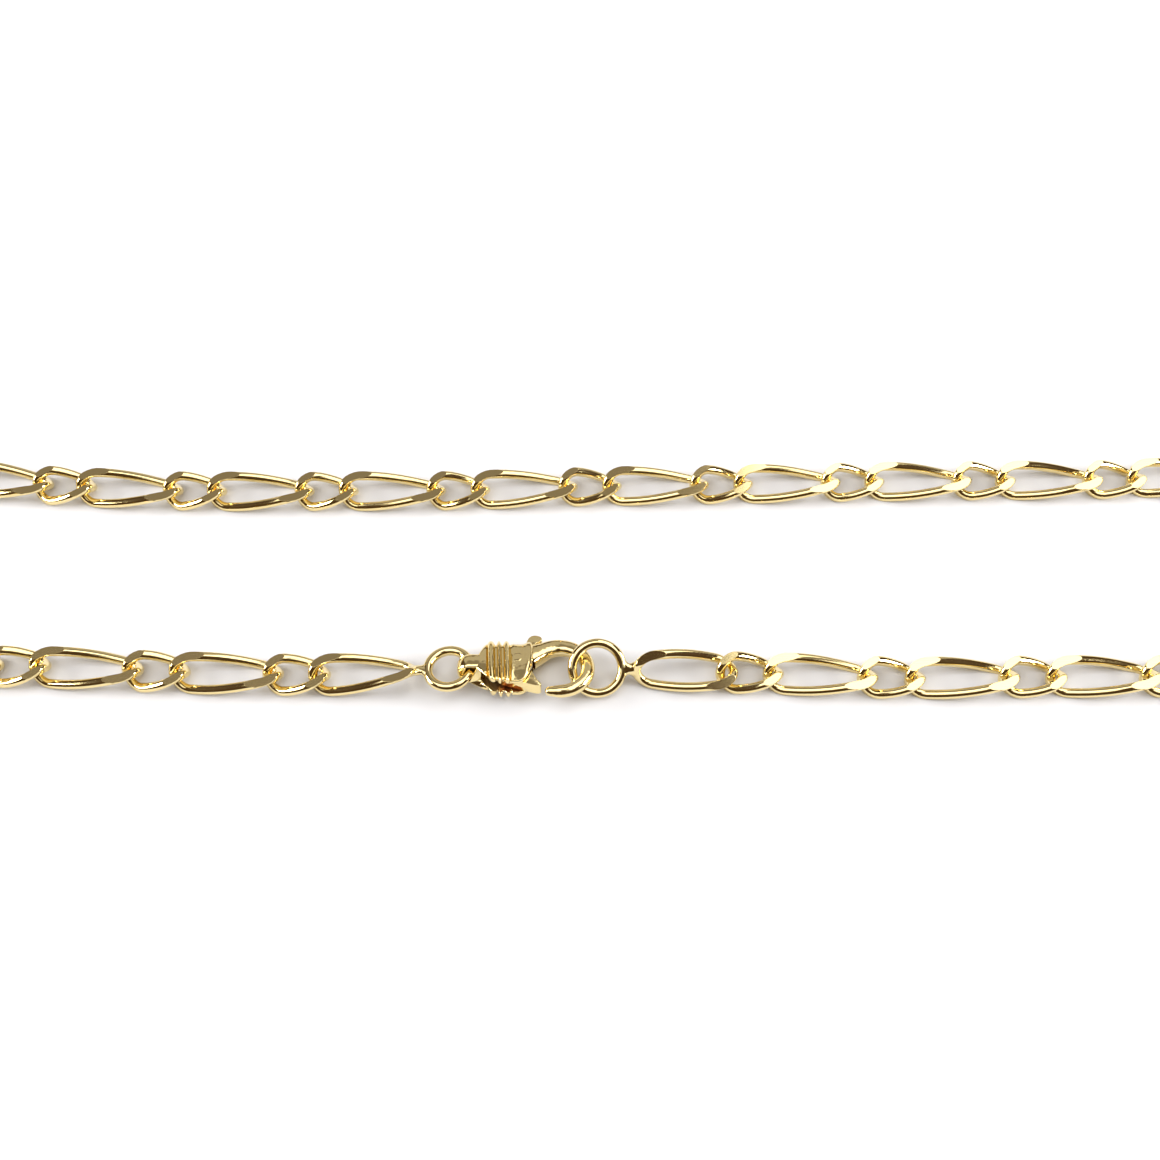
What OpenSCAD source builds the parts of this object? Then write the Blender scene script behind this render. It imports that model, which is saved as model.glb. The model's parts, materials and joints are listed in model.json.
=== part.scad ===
// A gold figaro chain necklace, lying closed on a table with its lobster clasp fastened.
// Every long link is followed by a short one. Each is an oval of round wire, twisted about
// the chain's run and ground flat above and below.
// Millimetres, +Z up, X along the two strands, the clasp strand at -Y.
// The origin is on the table, under the middle of the whole loop.

/* [Link wire] */
// Diameter of the round wire that the links are bent from
wire_d = 0.95; // [0.8:0.01:1]
// Play left between two links where they hook together
link_play = 0.15; // [0.12:0.01:0.25]

/* [Links] */
// Overall length of a long link
long_len = 11; // [9.5:0.25:12.5]
// Overall length of a short link
short_len = 6.55; // [6.2:0.05:7.5]
// Width of a link across its oval
link_w = 4.1; // [3.9:0.05:4.4]
// Angle that each end of a link is twisted out of the lying plane
link_twist = 50; // [46:1:52]
// Thickness of the chain over its ground flats
chain_t = 2.05; // [1.9:0.05:2.4]

/* [Small ring at the clasp's tail] */
// Outer diameter of the small ring
small_ring_d = 5; // [4.7:0.1:5.4]
// Wire diameter of the small ring
small_ring_wire = 0.95; // [0.8:0.05:1]
// Overall length of the long link that is soldered to the small ring
clasp_link_len = 10.6; // [9:0.2:12]
// Roll of the small ring and its link about the strand
clasp_link_roll = -8; // [-12:1:0]

/* [Large ring in the hook] */
// Outer diameter of the large ring
large_ring_d = 5.65; // [5.5:0.05:6]
// Wire diameter of the large ring
large_ring_wire = 0.9; // [0.75:0.05:0.95]
// Tilt of the large ring about the strand, towards the clasp side's edge
large_ring_roll = 28; // [26:1:30]
// Overall length of the long link that is soldered to the large ring
ring_link_len = 10.25; // [9:0.25:12.5]
// Roll of that link about the strand
ring_link_roll = 22; // [16:1:24]
// Lift of that link's far end, which its roll stands on edge
ring_link_lift = 0.06; // [0.05:0.01:0.1]
// Gap between a ring and its link, filled by the solder
solder_gap = 0.4; // [0.2:0.05:0.6]
// Diameter of the solder where it meets the ring
solder_d = 1; // [0.7:0.05:1.1]
// Slack of the two end links in the chain that they hold
end_slack = 0.18; // [0.15:0.01:0.2]

/* [Clasp] */
// Length of the clasp from its tail to the far side of its hook
clasp_len = 13.1; // [12.8:0.1:14]
// Roll of the clasp about the strand
clasp_roll = -16; // [-19:1:-14]
// Length of the barrel from its tail to the hook's root
barrel_len = 5.2; // [5:0.1:5.6]
// Radius of the barrel's round back
barrel_r = 1.3; // [1.2:0.05:1.5]
// Distance from the clasp's middle line to the centre of that round back
barrel_offset = 1.4; // [1.2:0.05:1.6]
// Depth of the barrel from the middle line to its open edge
barrel_front = 2.45; // [2.2:0.05:2.6]
// Thickness of the barrel's wall
barrel_wall = 0.45; // [0.35:0.05:0.55]
// Distance from the barrel's tail to the collar's first rib
collar_at = 1; // [0.8:0.1:1.2]
// Number of ribs round the collar
rib_count = 3; // [2:1:3]
// Height of the collar's ribs above the barrel
rib_h = 0.2; // [0.1:0.05:0.3]
// Width of one rib
rib_w = 0.5; // [0.3:0.05:0.55]
// Distance from one rib to the next
rib_pitch = 0.75; // [0.65:0.05:0.8]
// Radius of the hook's bend, at the middle of its wire
hook_r = 2.7; // [2.65:0.05:2.9]
// Wire diameter of the hook
hook_wire = 1.3; // [1.1:0.05:1.35]
// Wire diameter of the hook at its tip
hook_tip_d = 0.85; // [0.6:0.05:1]
// Length of the hook's straight tip
hook_tip_len = 0.95; // [0.6:0.05:1.1]
// Radius of the hook's root inside the barrel's end
hook_root_r = 1; // [0.9:0.05:1.1]
// Depth of that root inside the barrel
hook_root_depth = 0.3; // [0.2:0.05:0.4]
// Play of the large ring in the hook's bend
hook_play = 0.42; // [0.38:0.01:0.5]

/* [Tail eye] */
// Length of the eye's hole along the strand
eye_hole_len = 1.5; // [1.3:0.05:1.7]
// Height of the eye's hole
eye_hole_h = 1.6; // [1.55:0.05:1.7]
// Thickness of the bar round the eye
eye_bar = 0.5; // [0.4:0.05:0.6]
// Width of the eye across the strand
eye_w = 1.25; // [0.9:0.05:1.3]
// Play of the small ring in the eye
eye_play = 0.3; // [0.25:0.01:0.35]

/* [Lever and pin] */
// Distance from the pin to the barrel's end
pin_at = 1.4; // [1.2:0.05:1.5]
// Distance from the pin to the clasp's middle line, towards its back
pin_y = 0.3; // [0.2:0.05:0.4]
// Diameter of the lever's pin
pin_d = 0.8; // [0.6:0.05:1]
// Clearance of the pin in its bores, on the radius
pin_clear = 0.03; // [0.02:0.01:0.05]
// Clearance between the lever and the barrel's walls
lever_clear = 0.15; // [0.1:0.01:0.2]
// Radius of the lever's boss round the pin
boss_r = 0.85; // [0.75:0.05:0.95]
// Gap between the gate's tip and the hook's tip
gate_gap = 0.3; // [0.25:0.05:0.4]
// Depth of the gate's tip in front of the middle line
gate_drop = 2.6; // [2.4:0.05:2.7]
// Radius of the gate's round tip
gate_tip_r = 0.3; // [0.2:0.05:0.35]
// Length of the lever's heel behind the pin
heel_len = 1.8; // [1.6:0.05:2]
// Depth of the heel in front of the middle line
heel_drop = 2; // [1.8:0.05:2.1]
// Distance from the pin to the thumb knob, across the strand
thumb_rise = 3.3; // [3.1:0.05:3.5]
// Distance that the knob leans from the pin towards the hook
thumb_lean = 1.55; // [1.4:0.05:1.7]
// Width of the arm that carries the thumb knob
thumb_w = 0.55; // [0.5:0.05:0.6]
// Radius of the thumb knob
thumb_r = 0.42; // [0.3:0.02:0.5]
// Angle that the gate opens
gate_travel = 25; // [20:1:28]

/* [Hidden] */
$fn = 48;

gold = "#d9b65c";
pale_gold = "#e2c680";

// Where the clasp's link and the ring's link hook into the chain. X is measured from the
// middle of the fastened clasp's view.
ring_joint_at = [13.9, -10.5];
clasp_y = -10.45;
clasp_link_angle = 181.7;

// Links and where they hook: a link reaches from its middle to the middle of each joint.
wire_r = wire_d / 2;
function reach(length) = length / 2 - wire_d - link_play / 2;
long_reach = reach(long_len);
short_reach = reach(short_len);
mid_z = chain_t / 2;

// Places on the clasp's strand. The clasp's frame has X from its tail to its hook, Y across
// with the gate at -Y, and Z through its thickness.
rib_r = barrel_r + rib_h;
clasp_z = rib_r - barrel_offset * sin(clasp_roll);
hook_x = clasp_len - hook_wire / 2 - hook_r;
hook_y = -0.17;
ring_far = (large_ring_wire + hook_wire) / 2 + hook_play;
large_ring_x = clasp_len - hook_wire / 2 - ring_far + (large_ring_d - large_ring_wire) / 2;
large_ring_z = clasp_z;
ring_link_joint = large_ring_d / 2 + solder_gap + ring_link_len - wire_d - link_play / 2 - end_slack;
ring_centre_x = ring_joint_at[0] - ring_link_joint;
ring_pitch = asin((large_ring_z - mid_z - ring_link_lift) / ring_link_joint);
clasp_x = ring_centre_x - large_ring_x;

// The small ring runs through the middle of the tail eye.
small_ring_r = (small_ring_d - small_ring_wire) / 2;
small_ring_x = clasp_x + eye_bar + small_ring_wire / 2 + eye_play - small_ring_r;
clasp_link_joint = small_ring_d / 2 + solder_gap + clasp_link_len - wire_d - link_play / 2 - end_slack;
clasp_link_pitch = asin((clasp_z - mid_z) / (clasp_link_joint + small_ring_r));
small_ring_z = clasp_z - small_ring_r * sin(clasp_link_pitch);

// The route of the chain on the table, from its joint with the clasp's link, round the left
// turn, along the plain strand and round the right turn to its joint with the ring's link.
route = [
  [small_ring_x + clasp_link_joint * cos(clasp_link_angle),
    clasp_y + clasp_link_joint * sin(clasp_link_angle)],
  [-36.2, -10.6], [-45.7, -10.2], [-55, -9.9], [-64.8, -10.4], [-74.3, -12],
  [-85, -13.5], [-91.7, -11.7], [-96.8, -6.6], [-98.7, 0.5], [-96.8, 7.6], [-91.7, 12.7], [-85, 14.5],
  [-74.3, 13], [-65.7, 11.7], [-59.2, 10.8], [-49.1, 10.1], [-39, 9.7], [-25.5, 9.7], [-12.3, 9.8],
  [-2, 10.2], [8.2, 10.4], [22.5, 10.7], [33, 10.9], [43, 11], [53.2, 11.1], [63.9, 11.6],
  [74.5, 12.7], [85.3, 14], [94, 14.5], [101, 12.6], [106.1, 7.5], [108, 0.5],
  [106.1, -6.5], [101, -11.6], [94, -13.5], [85.3, -13], [74.5, -12], [63.9, -11.2],
  [53.3, -10.9], [40, -11], [30.5, -11.1], [21, -10.7], ring_joint_at
];
route_start = route[0];
route_end = route[len(route) - 1];

// A smooth line through the route's points.
spline_steps = 8;
function curve_at(a, b, c, d, t) =
  (2 * b + (c - a) * t + (2 * a - 5 * b + 4 * c - d) * t * t
  + (3 * b - a - 3 * c + d) * t * t * t) / 2;
function route_point(i) =
  i < 0 ? 2 * route_start - route[1]
  : i > len(route) - 1 ? 2 * route_end - route[len(route) - 2]
  : route[i];
line = [
  for (i = [0:len(route) - 2], k = [0:spline_steps - 1])
    curve_at(route_point(i - 1), route[i], route[i + 1], route_point(i + 2), k / spline_steps),
  route_end
];
run = [
  for (i = 0, s = 0; i < len(line);
    s = s + (i + 1 < len(line) ? norm(line[i + 1] - line[i]) : 0), i = i + 1) s
];
run_x = [for (i = [0:len(line) - 1]) [run[i], line[i][0]]];
run_y = [for (i = [0:len(line) - 1]) [run[i], line[i][1]]];
run_len = run[len(run) - 1];
function on_route(s) = [lookup(s, run_x), lookup(s, run_y)];

// The run holds whole pairs and one more short link, so that both ends start with a short one.
pair_len = 2 * (long_reach + short_reach);
pair_count = ceil((run_len - 2 * short_reach) / pair_len);
link_count = 2 * pair_count + 1;
taut_len = pair_count * pair_len + 2 * short_reach;
function joint_run(k) =
  (ceil(k / 2) * 2 * short_reach + floor(k / 2) * 2 * long_reach) * run_len / taut_len;
left_count = floor(link_count / 2);

// Link k lies between its two joints, and the middle of all the links is over the origin.
function link_from(k) = on_route(joint_run(k - 1));
function link_to(k) = on_route(joint_run(k));
link_middles = [for (k = [1:link_count]) (link_from(k) + link_to(k)) / 2];
loop_mid = [
  (min([for (m = link_middles) m[0]]) + max([for (m = link_middles) m[0]])) / 2,
  (min([for (m = link_middles) m[1]]) + max([for (m = link_middles) m[1]])) / 2
];

// Stations of a link's oval: each is [along, across, outward angle]. Those round a bend are
// moved out, so that the straight steps between them touch the true bend.
bend_steps = 5;
bend_out = 1 / cos(90 / bend_steps);
function bend(middle, r, from) = [
  for (i = [0:bend_steps])
    let (
      a = from + i * 180 / bend_steps,
      out = i == 0 || i == bend_steps ? r : r * bend_out
    )
    [middle + out * cos(a), out * sin(a), a]
];
function oval(length, side_steps) =
  let (
    r = (link_w - wire_d) / 2,
    s = (length - wire_d) / 2 - r
  ) [
    each bend(s, r, -90),
    for (i = [1:side_steps - 1]) [s - 2 * s * i / side_steps, r, 90],
    each bend(-s, r, 90),
    for (i = [1:side_steps - 1]) [-s + 2 * s * i / side_steps, -r, 270]
  ];

// The wire is a hexagon as large in area as the round wire.
wire_sides = 6;
hex_r = wire_r * sqrt(2 * PI / (wire_sides * sin(360 / wire_sides)));

// A point of the untwisted link, turned about the run by its place along it and ground flat.
function twisted(p, length) =
  let (a = -link_twist * p[0] / ((length - wire_d) / 2))
  [
    p[0],
    p[1] * cos(a) - p[2] * sin(a),
    min(max(p[1] * sin(a) + p[2] * cos(a), -mid_z), mid_z)
  ];

// One link about its own middle, lying along X.
module link(length, side_steps) {
  stations = oval(length, side_steps);
  n = len(stations);
  points = [
    for (s = stations, j = [0:wire_sides - 1])
      let (a = (j + 0.5) * 360 / wire_sides, o = hex_r * cos(a), w = hex_r * sin(a))
        twisted([s[0] + o * cos(s[2]), s[1] + o * sin(s[2]), w], length)
  ];
  faces = [
    for (i = [0:n - 1], j = [0:wire_sides - 1])
      let (
        a = i * wire_sides + j,
        b = i * wire_sides + (j + 1) % wire_sides,
        c = ((i + 1) % n) * wire_sides + (j + 1) % wire_sides,
        d = ((i + 1) % n) * wire_sides + j
      )
      each [[a, b, c], [a, c, d]]
  ];
  polyhedron(points, faces);
}

long_sides = 3;
short_sides = 2;

// Link k of the run, counted from the clasp.
module placed_link(k) {
  middle = link_middles[k - 1] - loop_mid;
  along = link_to(k) - link_from(k);
  translate([middle[0], middle[1], mid_z]) rotate([0, 0, atan2(along[1], along[0])])
      if (k % 2 == 0) link(long_len, long_sides);
      else link(short_len, short_sides);
}

module chain_left() {
  color(gold) for (k = [1:left_count]) placed_link(k);
}

module chain_right() {
  color(pale_gold) for (k = [left_count + 1:link_count]) placed_link(k);
}

// A round ring in the XY plane.
module ring(outer_d, wire) {
  rotate_extrude() translate([(outer_d - wire) / 2, 0]) circle(d = wire);
}

// A ring at the origin with a link soldered to its +X side.
module soldered_link(ring_d, ring_wire, ring_roll, link_len, link_roll) {
  link_x = ring_d / 2 + solder_gap + link_len / 2;
  rotate([ring_roll, 0, 0]) ring(ring_d, ring_wire);
  rotate([link_roll, 0, 0]) translate([link_x, 0, 0]) link(link_len, long_sides);
  translate([ring_d / 2 - ring_wire / 2, 0, 0]) rotate([0, 90, 0])
    cylinder(h = solder_gap + ring_wire / 2 + wire_r, d1 = solder_d, d2 = wire_d * 0.8);
}

module on_strand(x, y, z) {
  translate([x - loop_mid[0], y - loop_mid[1], z]) children();
}

module clasp_end_link() {
  color(gold)
    on_strand(small_ring_x, clasp_y, small_ring_z)
      rotate([0, clasp_link_pitch, clasp_link_angle])
        soldered_link(small_ring_d, small_ring_wire, -clasp_link_roll, clasp_link_len, -clasp_link_roll);
}

module ring_end_link() {
  color(gold)
    on_strand(ring_centre_x, clasp_y, large_ring_z)
      rotate([0, ring_pitch, 0])
        soldered_link(large_ring_d, large_ring_wire, large_ring_roll, ring_link_len, ring_link_roll);
}

module in_clasp() {
  on_strand(clasp_x, clasp_y, clasp_z) rotate([clasp_roll, 0, 0]) children();
}

// Section of the barrel across the strand: a round back and straight sides down to the open edge.
module barrel_section(r, front) {
  translate([barrel_offset, 0]) circle(r = r);
  translate([-front, -r]) square([barrel_offset + front, 2 * r]);
}

// That section, extruded along X from a start to an end.
module barrel_run(from, to, r, front) {
  translate([from, 0, 0]) rotate([90, 0, 90])
    linear_extrude(to - from) barrel_section(r, front);
}

tail_x = eye_bar + eye_hole_len;
collar_x = tail_x + collar_at;
barrel_end = tail_x + barrel_len;
pin_x = barrel_end - pin_at;
hook_tip = [hook_x - hook_tip_len, hook_y - hook_r];
gate_tip = [hook_tip[0] - hook_tip_d / 2 - gate_gap - gate_tip_r, -gate_drop];
heel = [pin_x - heel_len, -heel_drop];
thumb_knob = [pin_x + thumb_lean, pin_y + thumb_rise];
thumb_half = thumb_w / 2;
open_angle = atan2(thumb_rise, thumb_lean) + gate_travel;
slot_from = pin_x + norm([thumb_lean, thumb_rise]) * cos(open_angle) - thumb_half - lever_clear;
slot_to = thumb_knob[0] + lever_clear;
lever_t = 2 * (barrel_r - barrel_wall - lever_clear);

// Plan outline that tapers the barrel from its tail to the collar.
module barrel_plan() {
  linear_extrude(2 * rib_r + 1, center = true)
    polygon([
      [tail_x, -eye_w / 2 - 0.5], [collar_x, -barrel_front], [barrel_end - 0.6, -barrel_front],
      [barrel_end, -barrel_front * 0.6], [barrel_end, rib_r + barrel_offset],
      [collar_x, rib_r + barrel_offset], [tail_x, eye_w / 2 + 0.5]
    ]);
}

module eye_outline(grow) {
  r = eye_hole_h / 2 + grow;
  translate([eye_bar + eye_hole_h / 2, 0]) circle(r = r);
  translate([eye_bar + eye_hole_h / 2, -r]) square([eye_hole_len - eye_hole_h / 2 + grow, 2 * r]);
}

module tail_eye() {
  rotate([90, 0, 0]) linear_extrude(eye_w, center = true)
    difference() {
      eye_outline(eye_bar);
      eye_outline(0);
    }
}

// The hook bends round from its tip to where it points at the barrel's back, and thickens there.
hook_sweep = 205;
hook_end = [hook_x + hook_r * cos(hook_sweep - 90), hook_y + hook_r * sin(hook_sweep - 90)];
root_at = [barrel_end - hook_root_depth, barrel_offset];
root_run = hook_end - root_at;

module hook() {
  translate([hook_x, hook_y, 0]) rotate([0, 0, -90])
    rotate_extrude(angle = hook_sweep) translate([hook_r, 0]) circle(d = hook_wire);
  translate([hook_x, hook_tip[1], 0]) rotate([0, -90, 0])
    cylinder(h = hook_tip_len, d1 = hook_wire, d2 = hook_tip_d);
  translate([hook_tip[0], hook_tip[1], 0]) sphere(d = hook_tip_d);
  translate([root_at[0], root_at[1], 0]) rotate([0, 0, atan2(root_run[1], root_run[0])]) rotate([0, 90, 0])
    cylinder(h = norm(root_run), r1 = hook_root_r, d2 = hook_wire);
}

module clasp_body() {
  color(gold) in_clasp() difference() {
    union() {
      intersection() {
        difference() {
          barrel_run(tail_x, barrel_end, barrel_r, barrel_front);
          barrel_run(tail_x + barrel_wall, barrel_end + 1, barrel_r - barrel_wall, barrel_front + 1);
        }
        barrel_plan();
      }
      for (i = [0:rib_count - 1]) difference() {
        barrel_run(collar_x + i * rib_pitch, collar_x + i * rib_pitch + rib_w, rib_r, barrel_front);
        barrel_run(collar_x - 1, barrel_end, barrel_r - barrel_wall / 2, barrel_front + 1);
      }
      tail_eye();
      hook();
    }
    translate([pin_x, pin_y, 0]) cylinder(h = 4 * rib_r, r = pin_d / 2 + pin_clear, center = true);
    translate([slot_from, barrel_offset, -thumb_w / 2 - lever_clear])
      cube([slot_to - slot_from, 2 * rib_r, thumb_w + 2 * lever_clear]);
  }
}

module clasp_lever() {
  color(pale_gold) in_clasp() difference() {
    union() {
      linear_extrude(lever_t, center = true) {
        translate([pin_x, pin_y]) circle(r = boss_r);
        polygon([
          [pin_x - boss_r, pin_y], heel, [gate_tip[0], gate_tip[1] - gate_tip_r],
          gate_tip + [gate_tip_r * 0.7, gate_tip_r * 0.7], [pin_x + boss_r, pin_y - 0.3]
        ]);
        translate(gate_tip) circle(r = gate_tip_r);
      }
      linear_extrude(thumb_w, center = true) polygon([
        [pin_x - thumb_half, pin_y], [pin_x + thumb_half, pin_y],
        thumb_knob + [thumb_half, 0], thumb_knob - [thumb_half, 0]
      ]);
      translate([thumb_knob[0], thumb_knob[1], 0]) sphere(r = thumb_r);
    }
    translate([pin_x, pin_y, 0]) cylinder(h = 4 * rib_r, r = pin_d / 2 + pin_clear, center = true);
  }
}

module lever_pin() {
  color(gold) in_clasp() translate([pin_x, pin_y, 0])
    cylinder(h = 2 * barrel_r, d = pin_d, center = true);
}

chain_left();
chain_right();
clasp_end_link();
ring_end_link();
clasp_body();
clasp_lever();
lever_pin();
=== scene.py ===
# %% [markdown]
# # A gold figaro chain necklace
# The real necklace is bent from round gold wire: oval links, one long and one short in turn, each
# twisted about the chain's run and then ground flat on top and below. A lobster clasp closes the
# loop. The lesson builds it on a fixed frame of solids that says where every piece lies, so each
# new piece takes its place from that frame and only adds the true shape and the finish.

# %% Load the frame
import json
import math

import bmesh
import bpy
from mathutils import Matrix, Vector


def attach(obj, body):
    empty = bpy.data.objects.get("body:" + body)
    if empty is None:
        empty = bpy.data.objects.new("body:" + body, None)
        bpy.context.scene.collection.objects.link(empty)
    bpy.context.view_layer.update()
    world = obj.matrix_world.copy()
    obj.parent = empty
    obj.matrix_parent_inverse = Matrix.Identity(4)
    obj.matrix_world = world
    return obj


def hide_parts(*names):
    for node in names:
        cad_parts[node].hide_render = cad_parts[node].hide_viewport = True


MM = 0.001
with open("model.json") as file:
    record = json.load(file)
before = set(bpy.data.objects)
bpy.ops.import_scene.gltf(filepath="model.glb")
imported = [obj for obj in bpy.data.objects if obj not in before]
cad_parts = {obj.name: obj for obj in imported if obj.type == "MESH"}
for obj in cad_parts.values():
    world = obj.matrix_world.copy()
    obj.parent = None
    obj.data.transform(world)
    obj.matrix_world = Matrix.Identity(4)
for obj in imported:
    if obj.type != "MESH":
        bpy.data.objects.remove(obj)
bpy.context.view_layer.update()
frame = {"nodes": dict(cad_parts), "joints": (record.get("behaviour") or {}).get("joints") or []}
print("nodes in the frame:", sorted(frame["nodes"]))

# %% [markdown]
# ## The camera
# The photograph looks down on the table steeply, and the two strands run off both sides. A lens is
# usually set by its focal length. Here the angle of view is worked out from the frame's width and
# the focal length in pixels, because that keeps the strands' spacing as it was seen.

# %% Set the camera
FRAME_PX = 1160
FOCAL_PX = 1392
VIEW_ELEVATION = math.radians(62)
VIEW_DISTANCE = 138.4 * MM
AIM = Vector((-4.37, -0.53, 0)) * MM

camera = bpy.data.objects.new("camera", bpy.data.cameras.new("camera"))
camera.data.sensor_fit = "HORIZONTAL"
camera.data.angle = 2 * math.atan(FRAME_PX / 2 / FOCAL_PX)
camera.data.clip_start = 1 * MM
towards_camera = Vector((0, -math.cos(VIEW_ELEVATION), math.sin(VIEW_ELEVATION)))
camera.location = AIM + VIEW_DISTANCE * towards_camera
camera.rotation_euler = (math.pi / 2 - VIEW_ELEVATION, 0, 0)
bpy.context.scene.collection.objects.link(camera)
bpy.context.scene.camera = camera
print("angle of view:", round(math.degrees(camera.data.angle), 1), "degrees")

# %% [markdown]
# ## Sockets that add up
# A shader is a sum of small steps, and wiring each one by hand hides the idea. A small class holds
# one output socket and turns + and * into Math nodes, so that a finish reads like a formula. Every
# other node comes from one method, which sets the node's own settings first and then its inputs.

# %% Wrap a node tree
class Value:
    """One output socket of a tree, with the arithmetic of a number."""

    def __init__(self, paint, socket):
        self.paint = paint
        self.socket = socket

    def math(self, operation, first, second):
        return self.paint.node("ShaderNodeMath", {"operation": operation}, {0: first, 1: second})

    def __add__(self, other):
        return self.math("ADD", self, other)

    def __radd__(self, other):
        return self.math("ADD", other, self)

    def __mul__(self, other):
        return self.math("MULTIPLY", self, other)


class Paint:
    """A material and the nodes that make it."""

    def __init__(self, name):
        self.material = bpy.data.materials.new(name)
        self.material.use_nodes = True
        self.tree = self.material.node_tree
        self.tree.nodes.clear()

    def node(self, kind, settings=None, inputs=None, output=0):
        """Adds a node and returns one of its outputs."""
        made = self.tree.nodes.new(kind)
        for key, setting in (settings or {}).items():
            setattr(made, key, setting)
        for key, given in (inputs or {}).items():
            if isinstance(given, Value):
                self.tree.links.new(given.socket, made.inputs[key])
            else:
                made.inputs[key].default_value = given
        return Value(self, made.outputs[output]) if made.outputs else None

    def finish(self, **inputs):
        """Adds the shader with its inputs and returns the material."""
        shader = self.node("ShaderNodeBsdfPrincipled", {}, inputs)
        self.node("ShaderNodeOutputMaterial", {}, {"Surface": shader})
        return self.material


# %% [markdown]
# ## Polished gold
# Gold is all reflection: the colour is in the highlight, and the light and dark bands on a wire are
# pictures of the room. So the finish is a metal with a low roughness, and what makes it real is how
# that roughness wanders. Round wire has been drawn through a die and tumbled, which leaves faint
# dimples. The ground faces have straight marks along the link instead, and follow each link's own
# map. The clasp is cast and finished by hand, so its skin waves much more. Inside its barrel, where
# no polishing wheel reaches, the casting stays dull, and painted shade darkens its colour to a
# red-brown towards the depth of the barrel.

# %% Mix the golds
WARM_GOLD = (0.86, 0.67, 0.29, 1)
PALE_GOLD = (0.93, 0.79, 0.43, 1)
# painted shade: the dark red-brown deep inside the clasp's barrel
PAINTED_SHADE_BROWN = (0.24, 0.07, 0.02, 1)
DULL_GOLD = (0.85, 0.62, 0.24, 1)
FINE_PER_M = 2600
ROUGH_PER_M = 1500
MARKS_ALONG = (0.4, 22, 1)
MARKS_STRENGTH = 0.12
MARKS_DEPTH = 0.01 * MM
CAST_DEPTH = 0.02 * MM
CAST_ROUGHNESS = 0.5
BROAD_SHARE = 0.94
FINE_SHARE = 0.06
TINT_SWING = 0.6
# where the painted shade inside the barrel starts, and where it is darkest
HOLLOW_LIGHT_X = -13.4 * MM
HOLLOW_DARK_X = -11.6 * MM


def mixed(paint, factor, first, second):
    """A colour between two, by a factor."""
    return paint.node(
        "ShaderNodeMix", {"data_type": "RGBA"}, {0: factor, 6: first, 7: second}, output=2
    )


def noise_on(paint, vector, per_m, detail=2.0):
    """Smooth noise of a number of waves to the metre."""
    return paint.node(
        "ShaderNodeTexNoise", {}, {"Vector": vector, "Scale": per_m, "Detail": detail}
    )


def wandering(noise, value, least, swing):
    """A value that noise moves up from its least share."""
    return value * least + noise * (value * swing)


def polished_gold(name, roughness, waves_per_m, depth, tint):
    """Tumbled gold: its skin waves by a depth in metres, and tint is the share of light gold."""
    paint = Paint(name)
    place = paint.node("ShaderNodeTexCoord", output="Object")
    broad = noise_on(paint, place, waves_per_m)
    fine = noise_on(paint, place, FINE_PER_M, detail=4.0)
    skin = broad * BROAD_SHARE + fine * FINE_SHARE
    bump = paint.node("ShaderNodeBump", {}, {"Distance": depth, "Height": skin})
    return paint.finish(
        **{
            "Base Color": mixed(paint, broad * TINT_SWING + tint, WARM_GOLD, PALE_GOLD),
            "Metallic": 1.0,
            "Roughness": wandering(fine, roughness, least=0.7, swing=0.6),
            "Normal": bump,
        }
    )


def hollow_with_painted_shade(name, light_end, dark_end):
    """As-cast gold with painted shade, darker along X from the open tail into the barrel."""
    paint = Paint(name)
    place = paint.node("ShaderNodeTexCoord", output="Object")
    rough = noise_on(paint, place, ROUGH_PER_M, detail=4.0)
    bump = paint.node(
        "ShaderNodeBump", {}, {"Strength": 1.0, "Distance": CAST_DEPTH, "Height": rough}
    )
    along = paint.node("ShaderNodeSeparateXYZ", {}, {"Vector": place})
    # painted shade: the colour runs from dull gold at the open tail to dark red-brown deep in the
    # barrel
    depth = paint.node(
        "ShaderNodeMapRange", {}, {"Value": along, "From Min": light_end, "From Max": dark_end}
    )
    return paint.finish(
        **{
            "Base Color": mixed(paint, depth, DULL_GOLD, PAINTED_SHADE_BROWN),
            "Metallic": 1.0,
            "Roughness": CAST_ROUGHNESS,
            "Normal": bump,
        }
    )


def ground_gold(name, roughness):
    """Gold ground flat, with straight marks along the link's own map."""
    paint = Paint(name)
    along = paint.node("ShaderNodeUVMap", {"uv_map": "along"})
    stretched = paint.node(
        "ShaderNodeMapping", {"vector_type": "POINT"}, {"Vector": along, "Scale": MARKS_ALONG}
    )
    marks = noise_on(paint, stretched, 1.0, detail=3.0)
    bump = paint.node(
        "ShaderNodeBump",
        {},
        {"Strength": MARKS_STRENGTH, "Distance": MARKS_DEPTH, "Height": marks},
    )
    return paint.finish(
        **{
            "Base Color": mixed(paint, marks, WARM_GOLD, PALE_GOLD),
            "Metallic": 1.0,
            "Roughness": wandering(marks, roughness, least=0.6, swing=0.8),
            "Normal": bump,
        }
    )


wire_gold = polished_gold("wire gold", roughness=0.1, waves_per_m=260, depth=0.004 * MM, tint=0.2)
flat_gold = ground_gold("ground gold", roughness=0.1)
cast_gold = polished_gold("cast gold", roughness=0.14, waves_per_m=900, depth=0.085 * MM, tint=0.15)
# the inside of the barrel, with painted shade that darkens towards its depth
hollow_gold_painted_shade = hollow_with_painted_shade("hollow gold with painted shade", HOLLOW_LIGHT_X, HOLLOW_DARK_X)
print("finishes:", [m.name for m in (wire_gold, flat_gold, cast_gold, hollow_gold_painted_shade)])

# %% [markdown]
# ## Working with rims
# Every wire here is a rim of edges that is carried on: extruded once, then moved, turned or scaled.
# Blender's spin does the same in one call for a plain bend. Three helpers cover all the wires: start
# a rim, carry it on by a matrix, and close it with a round end.

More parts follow.
